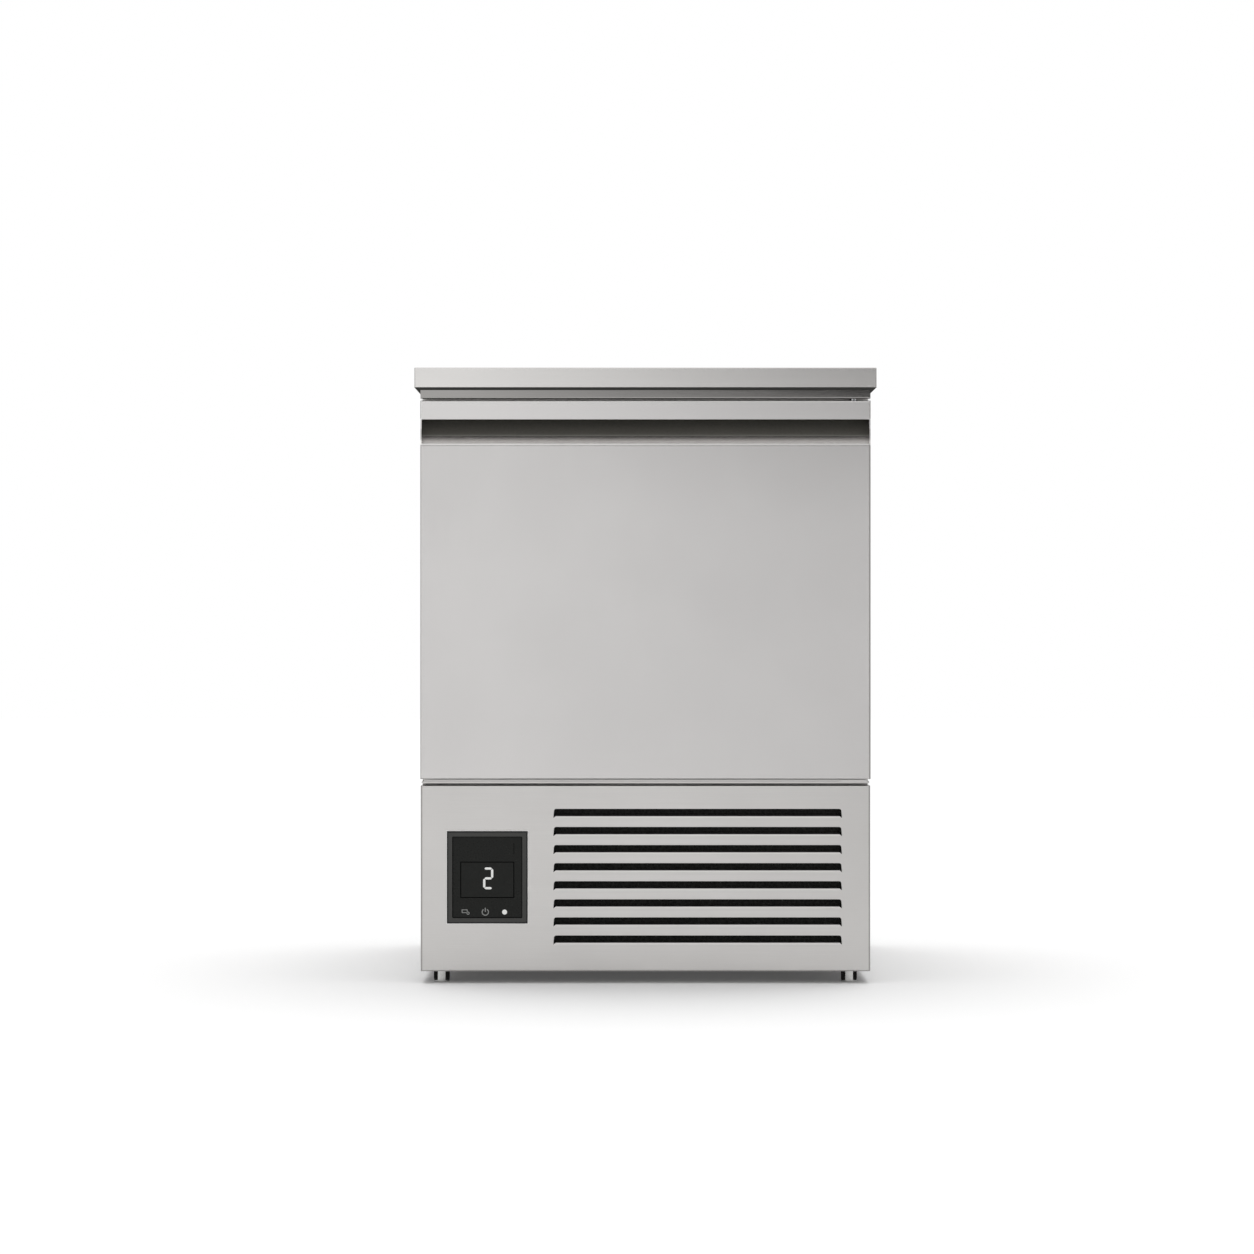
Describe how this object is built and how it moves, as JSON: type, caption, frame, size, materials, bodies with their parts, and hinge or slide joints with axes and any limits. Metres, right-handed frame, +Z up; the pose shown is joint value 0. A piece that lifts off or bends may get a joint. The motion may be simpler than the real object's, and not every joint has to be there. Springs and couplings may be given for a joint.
{
  "type": "under-counter refrigerated cabinet",
  "caption": "Stainless under-counter chiller: hinged door with a full-width finger scoop above a louvred machine compartment with a touch control, on short round feet.",
  "frame": {"origin": "on the floor under the middle of the worktop", "axes": "+Z up, the door faces -Y, +X to the right of someone facing the door"},
  "size_m": [0.6, 0.64, 0.8],
  "materials": {
    "brushed_stainless": "finely brushed stainless steel",
    "liner_stainless": "satin stainless steel",
    "galvanised_steel": "bright galvanised sheet",
    "polished_steel": "turned and polished steel",
    "polyurethane_foam": "foamed in place",
    "filter_foam": "open-cell dust filter foam",
    "black_plastic": "fine satin moulding",
    "dark_touch_face": "smooth dark touch face",
    "display_window": "smooth smoked window",
    "grey_gasket": "soft extruded gasket",
    "white_nylon": "moulded",
    "aluminium_fins": "pressed fins",
    "black_enamel": "satin enamel",
    "motor_grey": "satin paint",
    "black_rubber": "moulded rubber",
    "copper": "drawn copper tube",
    "shelf_wire": "bright zinc on wire"
  },
  "bodies": {
    "cabinet": {"worktop": "brushed_stainless", "left_side_panel": "brushed_stainless", "right_side_panel": "brushed_stainless", "back_panel": "galvanised_steel", "rear_grille": "galvanised_steel", "rear_screws": "polished_steel", "cable_gland": "black_plastic", "deck_sheet": "galvanised_steel", "front_frame": "brushed_stainless", "inner_liner": "liner_stainless", "cabinet_insulation": "polyurethane_foam", "header_rail": "brushed_stainless", "door_sill": "brushed_stainless", "top_hinge_plate": "galvanised_steel", "top_hinge_pin": "polished_steel", "bottom_hinge_pin": "polished_steel", "front_louvre_panel": "brushed_stainless", "condenser_filter": "filter_foam", "control_bezel": "black_plastic", "control_face": "dark_touch_face", "display_window": "display_window", "controller_housing": "black_plastic", "base_tray": "galvanised_steel", "foot_sockets": "galvanised_steel", "shelf_clips": "liner_stainless", "evaporator_coil": "aluminium_fins", "evaporator_cover": "liner_stainless", "evaporator_motor": "motor_grey", "motor_straps": "galvanised_steel", "temperature_probe": "white_nylon", "condenser_coil": "aluminium_fins", "fan_shroud": "galvanised_steel", "condenser_motor": "motor_grey", "compressor": "black_enamel", "compressor_grommets": "black_rubber", "filter_drier": "copper", "discharge_pipe": "copper", "liquid_pipe": "copper", "capillary_pipe": "copper", "suction_pipe": "copper", "condensate_tray": "white_nylon", "drain_pipe": "white_nylon", "lower_shelf": "shelf_wire", "upper_shelf": "shelf_wire", "shelf_uprights": "liner_stainless"},
    "door": {"door_skin": "brushed_stainless", "door_insulation": "polyurethane_foam", "door_liner": "liner_stainless", "door_gasket": "grey_gasket", "door_grip": "black_plastic", "top_hinge_bush": "white_nylon", "closer_cartridge": "white_nylon"},
    "condenser_fan_wheel": {"condenser_fan": "black_plastic"},
    "evaporator_fan_wheel": {"evaporator_fan": "black_plastic"},
    "front_left_foot": {"foot_front_left": "polished_steel"},
    "front_right_foot": {"foot_front_right": "polished_steel"},
    "rear_left_foot": {"foot_rear_left": "polished_steel"},
    "rear_right_foot": {"foot_rear_right": "polished_steel"}
  },
  "joints": [
    {"name": "door_hinge", "type": "hinge", "parent": "cabinet", "child": "door", "pos_m": [0.2705, -0.289, 0.5115], "axis": [0, 0, 1], "range_deg": [0, 110], "stiffness_Nm_per_rad": 0.5},
    {"name": "condenser_fan_spin", "type": "hinge", "parent": "cabinet", "child": "condenser_fan_wheel", "pos_m": [0.065, -0.154, 0.1165], "axis": [0, 1, 0], "continuous": true},
    {"name": "evaporator_fan_spin", "type": "hinge", "parent": "cabinet", "child": "evaporator_fan_wheel", "pos_m": [0, 0.163, 0.657], "axis": [0, 1, 0], "continuous": true},
    {"name": "front_left_foot_screw", "type": "slide", "parent": "cabinet", "child": "front_left_foot", "axis": [0, 0, -1], "range_m": [0, 0.012]},
    {"name": "front_right_foot_screw", "type": "slide", "parent": "cabinet", "child": "front_right_foot", "axis": [0, 0, -1], "range_m": [0, 0.012]},
    {"name": "rear_left_foot_screw", "type": "slide", "parent": "cabinet", "child": "rear_left_foot", "axis": [0, 0, -1], "range_m": [0, 0.012]},
    {"name": "rear_right_foot_screw", "type": "slide", "parent": "cabinet", "child": "rear_right_foot", "axis": [0, 0, -1], "range_m": [0, 0.012]}
  ]
}
